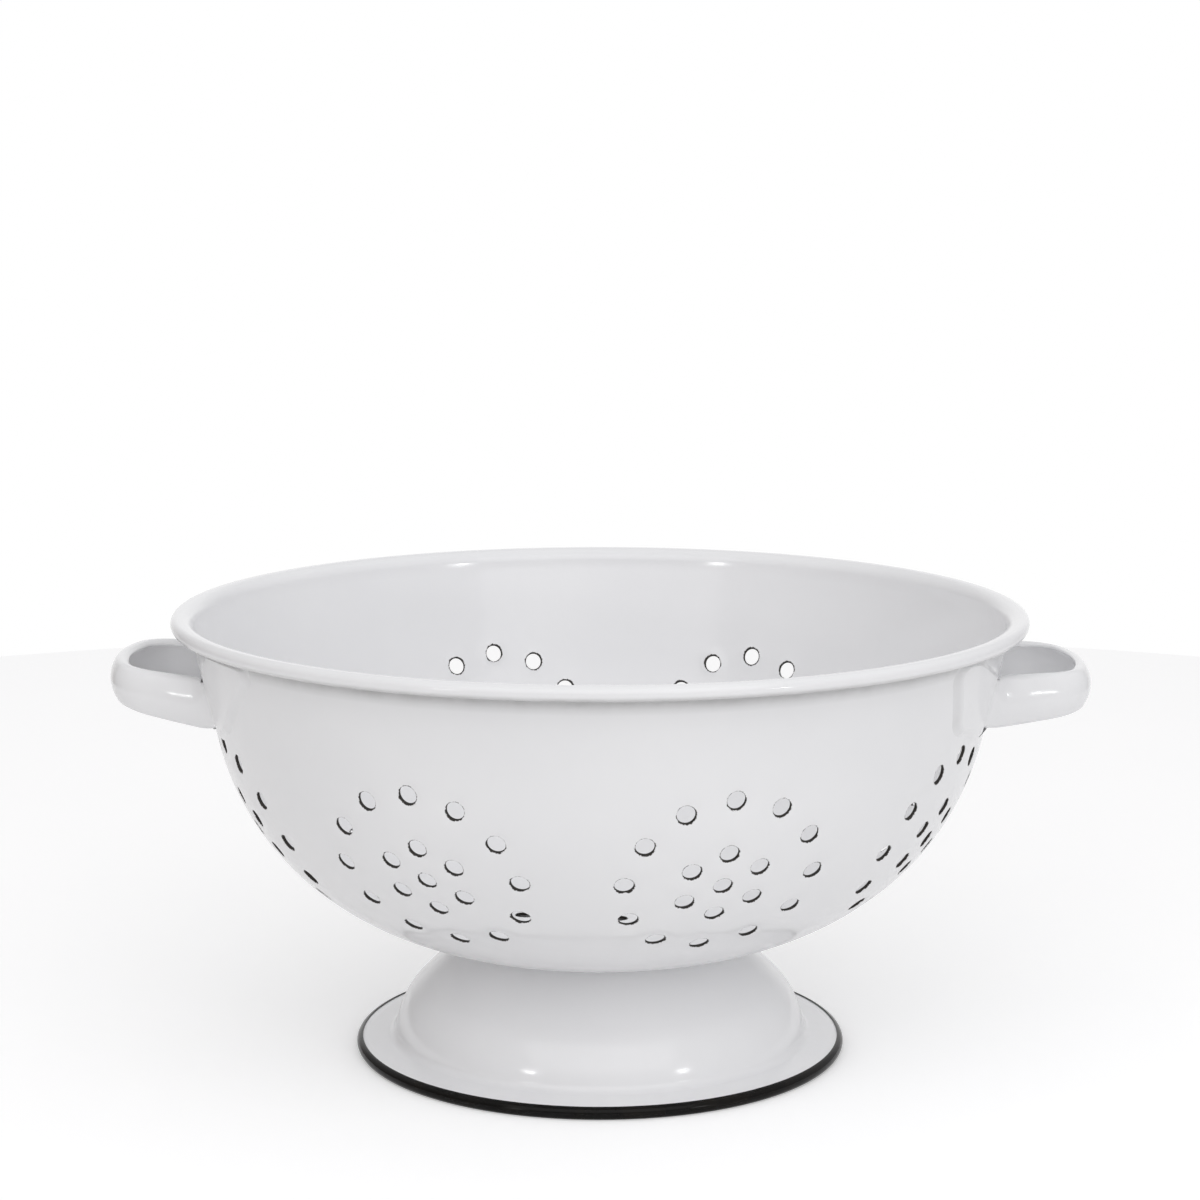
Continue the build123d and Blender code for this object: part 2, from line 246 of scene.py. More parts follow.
class Patch:
    """A punched stretch of the bowl: one rosette's plane, its holes and the rays along its axis."""

    def __init__(self, origin, across, up, axis, inner_turn):
        self.origin = np.array(origin)
        self.across = np.array(across)
        self.up = np.array(up)
        self.axis = np.array(axis)
        inner = [(INNER_RING, inner_turn + k * 2 * pi / INNER_HOLES) for k in range(INNER_HOLES)]
        outer = [(OUTER_RING, k * 2 * pi / OUTER_HOLES) for k in range(OUTER_HOLES)]
        self.holes = np.array([(0.0, 0.0)] + [(r * cos(a), r * sin(a)) for r, a in inner + outer])

    def flat(self, points):
        """Places of points in the rosette's plane."""
        away = points - self.origin
        return np.stack([away @ self.across, away @ self.up], -1)

    def dish(self, plane):
        """Depth of the dip round the holes at places of the plane, and its gradient there."""
        away = plane[:, None, :] - self.holes[None, :, :]
        distance = np.maximum(np.linalg.norm(away, axis=-1), HOLE_RADIUS)
        span = DISH_RADIUS - HOLE_RADIUS
        share = np.clip((DISH_RADIUS - distance) / span, 0, 1)
        depth = (DISH_DEPTH * share**2).sum(1)
        steep = -2 * DISH_DEPTH * share / span
        gradient = (steep[..., None] * away / distance[..., None]).sum(1)
        return depth, gradient

    def hit(self, plane, outside):
        """Points where the rays along the axis meet the face that lies that far outside the inner one."""
        base = self.origin + plane[:, :1] * self.across + plane[:, 1:] * self.up
        travel = np.zeros(len(plane))
        for _ in range(HIT_ROUNDS):
            points = base + travel[:, None] * self.axis
            s, gap = locate(np.hypot(points[:, 0], points[:, 1]), points[:, 2])
            travel -= (gap - outside) / (outward_at(points, s) @ self.axis)
        return base + travel[:, None] * self.axis

    def dished(self, points, inside=False):
        """Points of one face moved by the dish, with the normals that the face has there."""
        s, _ = locate(np.hypot(points[:, 0], points[:, 1]), points[:, 2])
        outward = outward_at(points, s)
        depth, gradient = self.dish(self.flat(points))
        normals = unit(outward + gradient[:, :1] * self.across + gradient[:, 1:] * self.up)
        return points - depth[:, None] * outward, -normals if inside else normals


class Shell:
    """Points, normals, cut distances and shares of painted shade of one piece, gathered from several
    stretches.
    """

    def __init__(self):
        self.points, self.normals, self.cuts, self.seams, self.faces = [], [], [], [], []
        self.count = 0

    def add(self, points, normals, faces, cuts=None, seams=None):
        self.points.append(points)
        self.normals.append(normals)
        self.cuts.append(np.full(len(points), FAR_FROM_CUT) if cuts is None else cuts)
        self.seams.append(np.zeros(len(points)) if seams is None else seams)
        self.faces += [tuple(i + self.count for i in face) for face in faces]
        self.count += len(points)

    def make(self, name):
        """One object in metres, its stretches welded where they meet, shaded by the normals given."""
        mesh = bpy.data.meshes.new(name)
        points = np.concatenate(self.points) * MM
        mesh.from_pydata(points.tolist(), [], self.faces)
        facing = mesh.attributes.new("facing", "FLOAT_VECTOR", "POINT")
        facing.data.foreach_set("vector", np.concatenate(self.normals).astype(np.float32).ravel())
        # The second attribute holds the share of painted shade
        for label, values in (("cut", self.cuts), ("seam_and_painted_shade", self.seams)):
            attribute = mesh.attributes.new(label, "FLOAT", "POINT")
            attribute.data.foreach_set("value", np.concatenate(values).astype(np.float32))
        work = bmesh.new()
        work.from_mesh(mesh)
        bmesh.ops.remove_doubles(work, verts=work.verts, dist=WELD_DISTANCE * MM)
        work.to_mesh(mesh)
        work.free()
        mesh.shade_smooth()
        normals = np.zeros(len(mesh.vertices) * 3, np.float32)
        mesh.attributes["facing"].data.foreach_get("vector", normals)
        normals = unit(normals.reshape(-1, 3))
        mesh.normals_split_custom_set_from_vertices(normals.tolist())
        mesh.attributes.remove(mesh.attributes["facing"])
        piece = bpy.data.objects.new(name, mesh)
        bpy.context.scene.collection.objects.link(piece)
        return piece


def strip(first, second, closed=False):
    """Quads between two rows of point numbers."""
    n = len(first)
    last = n if closed else n - 1
    return [(first[i], first[(i + 1) % n], second[(i + 1) % n], second[i]) for i in range(last)]


def circle(centre, radius, sides):
    angles = np.arange(sides) * 2 * pi / sides
    return np.stack([centre[0] + radius * np.cos(angles), centre[1] + radius * np.sin(angles)], -1)


def punched(shell, patch, border, lattice, chart, upward, copies):
    """Add both faces of a punched stretch and the edges of its holes to the shell.

    border and lattice hold distances along the section and angles; chart lays points out flat, and
    upward says that the chart is seen from the bowl's inside. copies are the angles it is repeated at.
    """
    first_ring = HOLE_RADIUS + EDGE_ROUND
    rings = [first_ring, *SURFACE_RINGS]
    planes = np.concatenate([circle(hole, radius, RING_SIDES) for hole in patch.holes for radius in rings])
    spots = patch.flat(on_face(*lattice.T, SHEET))
    clear = np.linalg.norm(spots[:, None, :] - patch.holes[None], axis=-1).min(1)
    lattice = lattice[clear > rings[-1] + LATTICE / 2]

    outer, inner = (np.concatenate([on_face(*border.T, outside), patch.hit(planes, outside),
                                    on_face(*lattice.T, outside)]) for outside in (SHEET, 0))
    edges = [(i, (i + 1) % len(border)) for i in range(len(border))]
    ring_starts = range(len(border), len(border) + len(planes), RING_SIDES)
    for start in ring_starts:
        edges += [(start + i, start + (i + 1) % RING_SIDES) for i in range(RING_SIDES)]
    flat_points = chart(outer)
    least_area = LEAST_AREA_SHARE * np.prod(np.ptp(flat_points, axis=0)) / len(outer)
    laid = delaunay_2d_cdt([Vector(p) for p in flat_points.tolist()], edges, [], 0, 1e-9)
    number = [source[0] for source in laid[3]]
    mouth = np.full(len(outer), -1)
    for hole, start in enumerate(ring_starts[::len(rings)]):
        mouth[start:start + RING_SIDES] = hole
    triangles = []
    for face in laid[2]:
        ids = [number[i] for i in face]
        a, b, c = flat_points[ids]
        area = (b[0] - a[0]) * (c[1] - a[1]) - (b[1] - a[1]) * (c[0] - a[0])
        if area > least_area and (mouth[ids[0]] < 0 or len(set(mouth[ids])) > 1):
            triangles.append(tuple(ids))

    cuts = np.full(len(outer), FAR_FROM_CUT)
    ring_cuts = np.repeat(np.tile(np.array(rings) - HOLE_RADIUS, len(patch.holes)), RING_SIDES)
    cuts[len(border):len(border) + len(planes)] = ring_cuts + EDGE_ROUND * (pi / 2 - 1)
    outer_points, outer_normals = patch.dished(outer)
    inner_points, inner_normals = patch.dished(inner, inside=True)
    backward = [face[::-1] for face in triangles]
    faces_out, faces_in = (backward, triangles) if upward else (triangles, backward)

    # Walls of the holes, from the outer face's first ring to the inner face's
    walls, wall_normals, wall_cuts, wall_faces = [], [], [], []
    bends = [pi / 6, pi / 3, pi / 2]
    spokes = circle((0, 0), 1, RING_SIDES)
    towards = -(spokes[:, :1] * patch.across + spokes[:, 1:] * patch.up)
    for hole, start in zip(patch.holes, ring_starts[::len(rings)]):
        columns = [np.arange(start, start + RING_SIDES)]
        for outside, order, sense in ((SHEET, bends, 1), (0, bends[::-1], -1)):
            for bend in order:
                radius = HOLE_RADIUS + EDGE_ROUND * (1 - sin(bend))
                ring = patch.hit(circle(hole, radius, RING_SIDES), outside)
                points, normals = patch.dished(ring, inside=outside == 0)
                columns.append(2 * len(outer) + len(walls) * RING_SIDES + np.arange(RING_SIDES))
                walls.append(points + sense * EDGE_ROUND * (1 - cos(bend)) * patch.axis)
                wall_normals.append(unit(cos(bend) * normals + sin(bend) * towards))
                cut = -WALL_CUT if bend == bends[-1] else EDGE_ROUND * (pi / 2 - bend)
                wall_cuts.append(np.full(RING_SIDES, cut - INSIDE_CUT * (outside == 0)))
        columns.append(len(outer) + np.arange(start, start + RING_SIDES))
        for near, far in zip(columns, columns[1:]):
            wall_faces += strip(far.tolist(), near.tolist(), closed=True)

    points = np.concatenate([outer_points, inner_points, *walls])
    normals = np.concatenate([outer_normals, inner_normals, *wall_normals])
    all_cuts = np.concatenate([cuts, cuts - INSIDE_CUT * (cuts < FAR_FROM_CUT), *wall_cuts])
    faces = faces_out + [tuple(i + len(outer) for i in face) for face in faces_in] + wall_faces
    for turn in copies:
        shell.add(turned(points, turn), turned(normals, turn), faces, all_cuts)


def bent_sheet(start, heading, runs, step=STEP, arc_step=ARC_STEP):
    """Rows of x, z and heading along a bent sheet's first face; the sheet lies on the right of it.

    A run is a straight length, or a radius with the angle that the face turns, positive to the left.
    """
    x, z = start
    rows = [(x, z, heading)]
    for run in runs:
        if isinstance(run, tuple):
            radius, turn = run
            side = 1 if turn > 0 else -1
            centre_x = x - side * radius * sin(heading)
            centre_z = z + side * radius * cos(heading)
            parts = max(2, ceil(abs(turn) / arc_step), ceil(radius * abs(turn) / step))
            for i in range(1, parts + 1):
                angle = heading + turn * i / parts
                x = centre_x + side * radius * sin(angle)
                z = centre_z - side * radius * cos(angle)
                rows.append((x, z, angle))
            heading += turn
        else:
            parts = max(1, ceil(run / step))
            for i in range(1, parts + 1):
                along = run * i / parts
                rows.append((x + along * cos(heading), z + along * sin(heading), heading))
            x, z = rows[-1][:2]
    return np.array(rows)


def wrapped(rows, thickness, cap_start=True):
    """Points and normals round a bent sheet's section, out along one face and back along the other."""
    x, z, heading = rows.T
    left = np.stack([-np.sin(heading), np.cos(heading)], -1)
    first = np.stack([x, z], -1)
    second = first - thickness * left

    def cap(middle, normal):
        ahead = np.array([normal[1], -normal[0]])
        angles = [pi * (i + 1) / CAP_STEPS for i in range(CAP_STEPS - 1)]
        normals = np.array([cos(a) * normal + sin(a) * ahead for a in angles])
        return middle + thickness / 2 * normals, normals

    end_points, end_normals = cap((first[-1] + second[-1]) / 2, left[-1])
    points = [first, end_points, second[::-1]]
    normals = [left, end_normals, -left[::-1]]
    if cap_start:
        start_points, start_normals = cap((first[0] + second[0]) / 2, -left[0])
        points.append(start_points)
        normals.append(start_normals)
    return np.concatenate(points), np.concatenate(normals)


def spun(shell, section, normals, sides, closed, start=0.0, seams=None):
    """Add a section turned all round the Z axis; the section runs so that its left side is the outside."""
    turns = start + np.arange(sides) * 2 * pi / sides
    ring = np.stack([np.cos(turns), np.sin(turns)], -1)
    points, facing = (
        np.concatenate([flat[:, None, :1] * ring[None], np.repeat(flat[:, None, 1:], sides, 1)], -1)
        for flat in (section, normals))
    rows = np.arange(len(section) * sides).reshape(len(section), sides).tolist()
    pairs = list(zip(rows, rows[1:] + rows[:1])) if closed else list(zip(rows, rows[1:]))
    faces = []
    for near, far in pairs:
        faces += strip(far, near, closed=True)
    shell.add(points.reshape(-1, 3), facing.reshape(-1, 3), faces,
              seams=None if seams is None else np.repeat(seams, sides))


def make_bowl():
    shell = Shell()
    half = SECTOR / 2

    # One sector of the side, laid out on a chart that keeps angles
    side_s = np.linspace(FLOOR_BORDER, SIDE_TOP, SIDE_ROWS + 1)
    fine = np.linspace(FLOOR_BORDER, SIDE_TOP, CHART_STEPS)
    radii = meridian(fine)[0]
    stretch = np.concatenate([[0], np.cumsum(np.diff(fine) * 2 / (radii[1:] + radii[:-1]))])
    bottom = np.linspace(-half, half, COLUMNS_BOTTOM + 1)
    top = np.linspace(half, -half, COLUMNS_TOP + 1)
    border = np.concatenate([
        np.stack([np.full(COLUMNS_BOTTOM, FLOOR_BORDER), bottom[:-1]], -1),
        np.stack([side_s[:-1], np.full(SIDE_ROWS, half)], -1),
        np.stack([np.full(COLUMNS_TOP, SIDE_TOP), top[:-1]], -1),
        np.stack([side_s[:0:-1], np.full(SIDE_ROWS, -half)], -1),
    ])
    lattice = []
    for row, s in enumerate(side_s[1:-1]):
        across = SECTOR * float(meridian(s)[0])
        count = max(2, round(across / LATTICE))
        shift = STAGGER_SHARES[row % 2]
        lattice += [(s, -half + SECTOR * (i + shift) / count) for i in range(count)]

    def side_chart(points):
        s, _ = locate(np.hypot(points[:, 0], points[:, 1]), points[:, 2])
        return np.stack([np.arctan2(points[:, 1], points[:, 0]), np.interp(s, fine, stretch)], -1)

    reach = WALL_BEND + SHEET
    side = Patch(origin=(BEND_X + reach * cos(ROSETTE_TILT), 0, BEND_Z - reach * sin(ROSETTE_TILT)),
                 across=(0, -1, 0),
                 up=(sin(ROSETTE_TILT), 0, cos(ROSETTE_TILT)),
                 axis=(-cos(ROSETTE_TILT), 0, sin(ROSETTE_TILT)),
                 inner_turn=pi / 2)
    copies = [ROSETTE_TURN + (k + 0.5) * SECTOR for k in range(ROSETTES)]
    punched(shell, side, border, np.array(lattice), side_chart, False, copies)

    # The floor
    turns = ROSETTE_TURN + np.arange(ROSETTES * COLUMNS_BOTTOM) * SECTOR / COLUMNS_BOTTOM
    border = np.stack([np.full(len(turns), FLOOR_BORDER), turns], -1)
    lattice = [(0.5 * LATTICE, 0.0)]
    for s in np.arange(LATTICE, FLOOR_BORDER - LATTICE / 2, LATTICE):
        count = round(2 * pi * s / LATTICE)
        lattice += [(s, 2 * pi * (i + 0.5 * (count % 2)) / count) for i in range(count)]
    floor = Patch(origin=(0, 0, FOOT_HEIGHT), across=(1, 0, 0), up=(0, 1, 0), axis=(0, 0, 1), inner_turn=0)
    punched(shell, floor, border, np.array(lattice), lambda points: points[:, :2], True, [0.0])

    # The upper wall and the rolled lip
    r, z, slope = meridian(SIDE_TOP)
    steepest = END + NECK_TURN
    rise = NECK_RADIUS * (cos(END) - cos(steepest)) + LIP_SHOULDER * (1 - cos(steepest))
    run = (OVERALL_HEIGHT - rise - float(z)) / sin(END)
    crown = (RIM_RADIUS - RIM_ROLL - float(r) - run * cos(END)
             - NECK_RADIUS * (sin(steepest) - sin(END)) - LIP_SHOULDER * sin(steepest))
    runs = [run, (NECK_RADIUS, NECK_TURN), (LIP_SHOULDER, -steepest), crown, (RIM_ROLL, -pi), RIM_TUCK]
    rows = bent_sheet((float(r), float(z)), float(slope), runs, arc_step=FINE_ARC_STEP)
    section, normals = wrapped(rows, SHEET, cap_start=False)
    # Painted shade in the crease under the roll, on the outer faces only
    above = section[:, 1] - (OVERALL_HEIGHT - 2 * RIM_ROLL)
    away = np.where(above > 0, above / GROOVE_SHADE_ABOVE, -above / GROOVE_SHADE_BELOW)
    outside = (normals[:, 0] > 0) | (normals[:, 1] < 0)
    painted_groove_shade = np.where(outside, 1 - np.clip(away, 0, 1), 0)
    spun(shell, section, normals, ROUND_SIDES, closed=False, start=ROSETTE_TURN, seams=painted_groove_shade)
    return shell.make("bowl_enamel")


def make_foot():
    shell = Shell()
    arc = FLOOR_BEND + SHEET + WELD_GAP
    centre_z = FOOT_HEIGHT + FLOOR_BEND + SHEET
    seat_start = asin((SEAT_INNER - FLOOR_RADIUS) / arc)
    seat_end = asin((SEAT_OUTER - FLOOR_RADIUS) / arc)
    edge_x, edge_z = edge_centre()
    cone_x = SEAT_OUTER + SEAT_BEND * (sin(seat_end) + sin(FOOT_SLOPE))
    cone_z = centre_z - arc * cos(seat_end) - SEAT_BEND * (cos(seat_end) - cos(FOOT_SLOPE))
    bends_x = (FOOT_BULGE * (sin(FOOT_BASE_SLOPE) - sin(FOOT_SLOPE))
               + FLANGE_FILLET * (sin(FOOT_BASE_SLOPE) - sin(FLANGE_SLOPE)))
    bends_z = (FOOT_BULGE * (cos(FOOT_SLOPE) - cos(FOOT_BASE_SLOPE))
               + FLANGE_FILLET * (cos(FLANGE_SLOPE) - cos(FOOT_BASE_SLOPE)))
    room_x = edge_x + EDGE_ROLL * sin(FLANGE_SLOPE) - cone_x - bends_x
    room_z = cone_z - bends_z - edge_z - EDGE_ROLL * cos(FLANGE_SLOPE)
    lean = sin(FOOT_SLOPE - FLANGE_SLOPE)
    cone_run = (room_z * cos(FLANGE_SLOPE) - room_x * sin(FLANGE_SLOPE)) / lean
    flange_run = (room_x * sin(FOOT_SLOPE) - room_z * cos(FOOT_SLOPE)) / lean
    rows = bent_sheet(
        (SEAT_INNER, centre_z - arc * cos(seat_start)), seat_start,
        [(arc, seat_end - seat_start), (SEAT_BEND, -seat_end - FOOT_SLOPE), cone_run,
         (FOOT_BULGE, FOOT_SLOPE - FOOT_BASE_SLOPE), (FLANGE_FILLET, FOOT_BASE_SLOPE - FLANGE_SLOPE),
         flange_run, (EDGE_ROLL, -EDGE_ROLL_TURN)])
    section, normals = wrapped(rows, SHEET)
    spun(shell, section, normals, ROUND_SIDES, closed=True)
    return shell.make("foot_enamel")


def edge_centre():
    return FOOT_RADIUS - EDGE_COAT - COAT_GAP - EDGE_ROLL, EDGE_ROLL + EDGE_COAT + COAT_GAP - EDGE_FLAT


def make_edge():
    shell = Shell()
    edge_x, edge_z = edge_centre()
    radius = EDGE_ROLL + COAT_GAP + EDGE_COAT
    start = (edge_x + radius * sin(FLANGE_SLOPE), edge_z + radius * cos(FLANGE_SLOPE))
    rows = bent_sheet(start, -FLANGE_SLOPE, [(radius, -COAT_TURN)], step=FINE_STEP)
    section, normals = wrapped(rows, EDGE_COAT)
    low = section[:, 1] < 0
    section[low, 1] = 0
    normals[low] = (0, -1)
    spun(shell, section, normals, ROUND_SIDES, closed=True)
    return shell.make("black_edge_enamel")


def wall_outside(z):
    """Outside radius of the straight, tapered part of the wall."""
    return WALL_FOOT_X + (z - WALL_FOOT_Z) * tan(TAPER) + SHEET / cos(TAPER)


def pad_face(z):
    return wall_outside(z) + WELD_GAP + STRAP


class Loop:
    """One handle, described for the side of +X: its plan, the heights of its edges and their curl.

    low and high hold the strap's lower and upper edge at the tip and at the root. curl holds how far
    past its crest each rolled edge turns, at the tip and at the root. pad holds the heights of the
    pad's edges. Its upper edge is level from level_from on, and its end runs from pad_ends[0] below
    to pad_ends[1] above, all along Y.
    """

    def __init__(self, reach, low, high, curl, pad, level_from, pad_ends):
        self.low, self.high, self.curl = low, high, curl
        self.pad, self.level_from, self.pad_ends = pad, level_from, pad_ends
        self.tip_x = RIM_RADIUS + reach
        tip_end_x = self.tip_x - TIP_RADIUS * (1 - cos(TIP_HALF_ANGLE))
        self.corner_x = tip_end_x - CORNER_RADIUS * cos(TIP_HALF_ANGLE)
        self.corner_y = (TIP_RADIUS - CORNER_RADIUS) * sin(TIP_HALF_ANGLE)
        self.leg_x = self.corner_x + CORNER_RADIUS * sin(LEG_TOE)
        self.leg_y = self.corner_y + CORNER_RADIUS * cos(LEG_TOE)
        self.hollow_x = self.leg_x + ROOT_RADIUS * sin(LEG_TOE)
        self.hollow_y = self.leg_y + ROOT_RADIUS * cos(LEG_TOE)

    def plan(self, stretch, share, z):
        """Place and outward direction, in plan, on the face of the half on +Y.

        The stretches run from the handle's middle: 0 tip, 1 corner, 2 leg, 3 hollow bend, 4 pad.
        """
        reach = pad_face(z) + ROOT_RADIUS
        along = self.hollow_x * cos(LEG_TOE) - self.hollow_y * sin(LEG_TOE)
        leg = along - sqrt(along**2 + reach**2 - self.hollow_x**2 - self.hollow_y**2)
        centre_x, centre_y = self.hollow_x - leg * cos(LEG_TOE), self.hollow_y + leg * sin(LEG_TOE)
        leg_turn = pi / 2 - LEG_TOE
        pad_from = atan2(centre_y, centre_x)
        if stretch == 0:
            turn = share * TIP_HALF_ANGLE
            return self.tip_x - TIP_RADIUS * (1 - cos(turn)), TIP_RADIUS * sin(turn), turn
        if stretch == 1:
            turn = TIP_HALF_ANGLE + share * (leg_turn - TIP_HALF_ANGLE)
            return (self.corner_x + CORNER_RADIUS * cos(turn),
                    self.corner_y + CORNER_RADIUS * sin(turn), turn)
        if stretch == 2:
            bow = LEG_BOW * sin(pi * share)**2
            return (self.leg_x - share * leg * cos(LEG_TOE) + bow * cos(leg_turn),
                    self.leg_y + share * leg * sin(LEG_TOE) + bow * sin(leg_turn), leg_turn)
        if stretch == 3:
            turn = leg_turn + share * (pad_from - leg_turn)
            return centre_x - ROOT_RADIUS * cos(turn), centre_y - ROOT_RADIUS * sin(turn), turn
        end_y = np.interp(z, self.pad, self.pad_ends)
        turn = pad_from + share * (asin(end_y / pad_face(z)) - pad_from)
        return pad_face(z) * cos(turn), pad_face(z) * sin(turn), turn

    def edges(self, x, y):
        """Heights of the strap's lower and upper edge there."""
        along = min(max((self.tip_x - x) / (self.tip_x - ROOT_X), 0), 1)
        low = self.low[0] + along * (self.low[1] - self.low[0])
        high = self.high[0] + along * (self.high[1] - self.high[0])
        low += (self.pad[0] - low) * smooth(y, ROOT_Y, self.pad_ends[0])
        high += (self.pad[1] - high) * smooth(y, ROOT_Y, self.level_from)
        return low, high

    def section(self, curl, height):
        """Share of the way round, height and depth of points across the strap, from lip to lip.

        The face is slightly crowned, and its bends are crests from which the edges curl back.
        """
        half = height / 2
        crown = 0.5
        for _ in range(CROWN_ROUNDS):
            crown = 2 * atan2(CURL_DEPTH - CURL_RADIUS * cos(crown), half - CURL_RADIUS * (1 - sin(crown)))
        radius = (half - CURL_RADIUS * (1 - sin(crown))) / sin(crown)
        leans = np.concatenate([np.linspace(0, crown, CROWN_POINTS)[:-1],
                                np.linspace(crown, pi / 2, EDGE_POINTS)[:-1],
                                pi / 2 + np.linspace(0, curl, CURL_POINTS)])
        face, edge = np.minimum(leans, crown), np.maximum(leans, crown)
        rise = radius * np.sin(face) + CURL_RADIUS * (np.sin(edge) - sin(crown))
        depth = radius * (1 - np.cos(face)) + CURL_RADIUS * (cos(crown) - np.cos(edge))
        upper = np.stack([half + rise, depth], -1)
        lower = np.stack([half - rise, depth], -1)
        across = np.concatenate([lower[:0:-1], upper])
        run = np.concatenate([[0], np.cumsum(np.linalg.norm(np.diff(across, axis=0), axis=1))])
        return zip(run / run[-1], across[:, 0], across[:, 1])

    def column(self, stretch, share):
        """Points across the strap at one place along it; the curled edges open out into the flat pad."""
        form = 1.0 if stretch < 3 else 1 - smooth(share, 0, 1) if stretch == 3 else 0.0
        from_end = (1 - share) * PAD_LENGTH if stretch == 4 else PAD_CORNER
        cut = PAD_CORNER - sqrt(PAD_CORNER**2 - max(PAD_CORNER - from_end, 0)**2)
        x, y, _ = self.plan(stretch, share, sum(self.low) / 4 + sum(self.high) / 4)
        low, high = self.edges(x, y)
        along = min(max((self.tip_x - x) / (self.tip_x - ROOT_X), 0), 1)
        curl = self.curl[0] + along * (self.curl[1] - self.curl[0])
        column = []
        for level, rise, depth in self.section(curl, high - low):
            z = low + rise
            for _ in range(COLUMN_ROUNDS):
                x, y, turn = self.plan(stretch, share, z)
                low_here, high_here = self.edges(x, y)
                part = form * rise / (high - low) + (1 - form) * level
                z = low_here + cut + part * (high_here - low_here - 2 * cut)
            x, y = x - form * depth * cos(turn), y - form * depth * sin(turn)
            clear = max(1, (wall_outside(z) + WALL_CLEARANCE) / hypot(x, y))
            column.append((x * clear, y * clear, z))
        return column

    def face(self):
        """Grid of points over the outer face, along the strap from end to end and across it."""
        steps = (TIP_STEPS, CORNER_STEPS, LEG_STEPS, ROOT_STEPS)
        places = [(stretch, i / count) for stretch, count in enumerate(steps) for i in range(count)]
        places += [(4, 1 - from_end / PAD_LENGTH) for from_end in PAD_STEPS]
        half = np.array([self.column(*place) for place in places])
        return np.concatenate([half[:0:-1] * (1, -1, 1), half])


def smooth(value, start, end):
    """Rise from 0 to 1 between start and end, level at both."""
    share = min(max((value - start) / (end - start), 0), 1)
    return share * share * (3 - 2 * share)


class Seam:
    """The enamel that runs from a handle's edge down to the wall, where the handle lies close to it, with
    painted shade laid on it.
    """

    def __init__(self, edge, away):
        radius = np.hypot(edge[:, 0], edge[:, 1])
        self.edge = edge
        self.height = (radius - wall_outside(edge[:, 2])) * cos(TAPER)
        level = np.stack([-edge[:, 1], edge[:, 0], np.zeros(len(edge))], -1) / radius[:, None]
        outward = np.stack([edge[:, 0] * cos(TAPER), edge[:, 1] * cos(TAPER), -radius * sin(TAPER)], -1)
        self.outward = outward / radius[:, None]
        climb = np.cross(self.outward, level)
        sideways, upwards = (away * level).sum(1), (away * climb).sum(1)
        reach = np.where(upwards > 0, SEAM_ABOVE, SEAM_BELOW)
        self.reach = (SEAM_SIDE * sideways**2 + reach * upwards**2) / (sideways**2 + upwards**2)
        self.along = unit(sideways[:, None] * level + upwards[:, None] * climb)
        self.share = np.array([1 - smooth(height, SEAM_FULL, SEAM_NONE) for height in self.height])[:, None]
        # Painted shade, strongest where the seam runs sideways and low over the wall
        self.shade = self.share[:, 0] * sideways**2 / (sideways**2 + upwards**2)

    def row(self, t):
        """Points and normals at the share t of the way from the edge to the wall."""
        spots = self.edge + t * self.reach[:, None] * self.along
        above = (self.height + SEAM_SUNK) * (1 - smooth(t, 0, 1)) - SEAM_SUNK
        radius = wall_outside(spots[:, 2]) + above / cos(TAPER)
        spots[:, :2] *= (radius / np.hypot(spots[:, 0], spots[:, 1]))[:, None]
        steep = 6 * t * (1 - t) * self.height / self.reach
        return spots, unit(self.outward + steep[:, None] * self.along)

    def mix(self, free, seamed):
        return (1 - self.share) * free + self.share * seamed


def make_handle(name, loop, side):
    shell = Shell()
    grid = loop.face()
    normals = unit(np.cross(np.gradient(grid, axis=0), np.gradient(grid, axis=1)))
    n, m = grid.shape[:2]
    ids = np.arange(n * m).reshape(n, m)
    faces = []
    for i in range(n - 1):
        faces += strip(ids[i + 1].tolist(), ids[i].tolist())
        faces += strip((ids[i] + n * m).tolist(), (ids[i + 1] + n * m).tolist())

    # The rounded edge all round the strap
    border = np.concatenate([ids[:, 0], ids[-1, 1:], ids[-2::-1, -1], ids[0, -2:0:-1]])
    edge = grid.reshape(-1, 3)[border]
    facing = normals.reshape(-1, 3)[border]
    away = unit(np.cross(unit(np.roll(edge, -1, 0) - np.roll(edge, 1, 0)), facing))
    points = [grid.reshape(-1, 3), (grid - STRAP * normals).reshape(-1, 3)]
    all_normals = [normals.reshape(-1, 3), -normals.reshape(-1, 3)]
    rows = [border]
    seam_and_painted_shade = Seam(edge, away)
    shade = [np.zeros(2 * n * m)]
    for step in range(1, RIM_ROWS + 1):
        bend = pi * step / (RIM_ROWS + 1)
        rows.append(2 * n * m + (step - 1) * len(border) + np.arange(len(border)))
        direction = cos(bend) * facing + sin(bend) * away
        spots, leaning = seam_and_painted_shade.row(step / RIM_ROWS)
        points.append(seam_and_painted_shade.mix(edge + STRAP / 2 * (direction - facing), spots))
        all_normals.append(unit(seam_and_painted_shade.mix(direction, leaning)))
        # Painted shade beside the pad, darker on the right than on the left
        shade.append(seam_and_painted_shade.shade * smooth(step / RIM_ROWS, 0, SHADE_FULL) * SEAM_SHADE[side])
    rows.append(border + n * m)
    for near, far in zip(rows, rows[1:]):
        faces += strip(far.tolist(), near.tolist(), closed=True)
    mirror = np.array((side, 1, 1))
    if side < 0:
        faces = [face[::-1] for face in faces]
    shell.add(np.concatenate(points) * mirror, np.concatenate(all_normals) * mirror, faces,
              seams=np.concatenate(shade))
    return shell.make(name)


RIGHT_LOOP = Loop(reach=21.2, low=(117.9, 114.4), high=(131.2, 131.4), curl=(radians(20), radians(60)),
                  pad=(120.2, 140.9), level_from=72.0, pad_ends=(65.6, 76.0))
LEFT_LOOP = Loop(reach=20.7, low=(120.1, 114.2), high=(133.4, 130.6), curl=(radians(55), radians(60)),
                 pad=(118.2, 140.9), level_from=57.0, pad_ends=(52.5, 80.0))


def finished(piece, slot, *nodes):
    """Ride the root and stand in for the CAD nodes; the slot is not used."""
    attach(piece, "root")
    for node in nodes:
        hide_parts(node)


